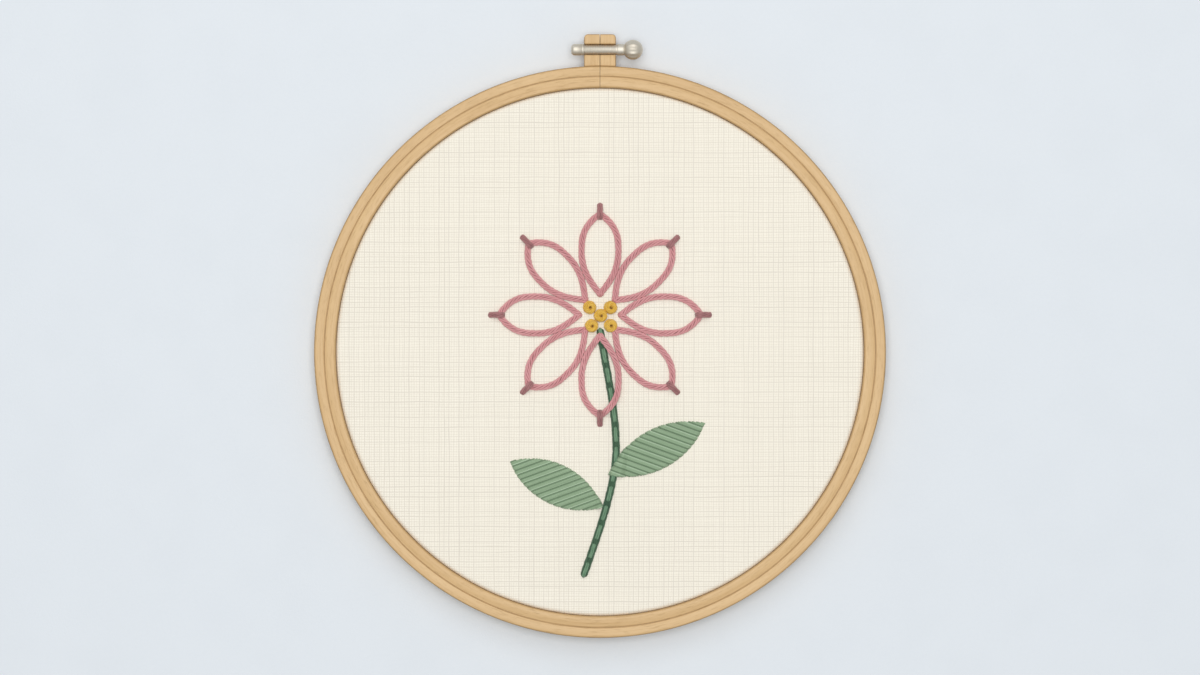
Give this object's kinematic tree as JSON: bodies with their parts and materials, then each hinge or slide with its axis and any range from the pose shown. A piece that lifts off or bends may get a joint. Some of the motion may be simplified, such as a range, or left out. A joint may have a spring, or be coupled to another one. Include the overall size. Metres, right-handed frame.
{
  "type": "embroidered linen in a wooden embroidery hoop",
  "caption": "Round wooden embroidery hoop holding stretched cream linen, stitched with a looped flower, knots, a stem and leaves; a screw clamps the split outer ring.",
  "frame": {"origin": "bottom centre of the whole outline, on the surface that the hoop's back rests on", "axes": "+Z out of the stitched face, +Y towards the clamp, +X to the right seen from the face"},
  "size_m": [0.165, 0.1742, 0.0108],
  "materials": {
    "hoop_wood": "pale bent wood, lightly sanded, thin matt varnish",
    "cream_linen": "plain-woven cream linen, matt",
    "clamp_metal": "dull nickel-plated",
    "pink_thread": "dusty pink stranded floss, slight sheen",
    "dark_pink_thread": "dark rose stranded floss, slight sheen",
    "gold_thread": "golden yellow stranded floss, slight sheen",
    "dark_green_thread": "dark green stranded floss, slight sheen",
    "sage_thread": "sage green stranded floss, slight sheen"
  },
  "bodies": {
    "hoop": {"outer_ring": "hoop_wood", "inner_ring": "hoop_wood", "linen": "cream_linen", "lug_left": "hoop_wood", "lug_right": "hoop_wood", "cap_nut": "clamp_metal", "stem": "dark_green_thread", "leaf_left": "sage_thread", "leaf_right": "sage_thread", "petal_1": "pink_thread", "petal_2": "pink_thread", "petal_3": "pink_thread", "petal_4": "pink_thread", "petal_5": "pink_thread", "petal_6": "pink_thread", "petal_7": "pink_thread", "petal_8": "pink_thread", "tack_1": "dark_pink_thread", "tack_2": "dark_pink_thread", "tack_3": "dark_pink_thread", "tack_4": "dark_pink_thread", "tack_5": "dark_pink_thread", "tack_6": "dark_pink_thread", "tack_7": "dark_pink_thread", "tack_8": "dark_pink_thread", "knot_1": "gold_thread", "knot_2": "gold_thread", "knot_3": "gold_thread", "knot_4": "gold_thread", "knot_5": "gold_thread"},
    "clamp_screw": {"thumbscrew": "clamp_metal"}
  },
  "joints": [
    {"name": "clamp_screw_turn", "type": "hinge", "parent": "hoop", "child": "clamp_screw", "pos_m": [0, 0.0827, 0.0072], "axis": [1, 0, 0], "continuous": true}
  ]
}
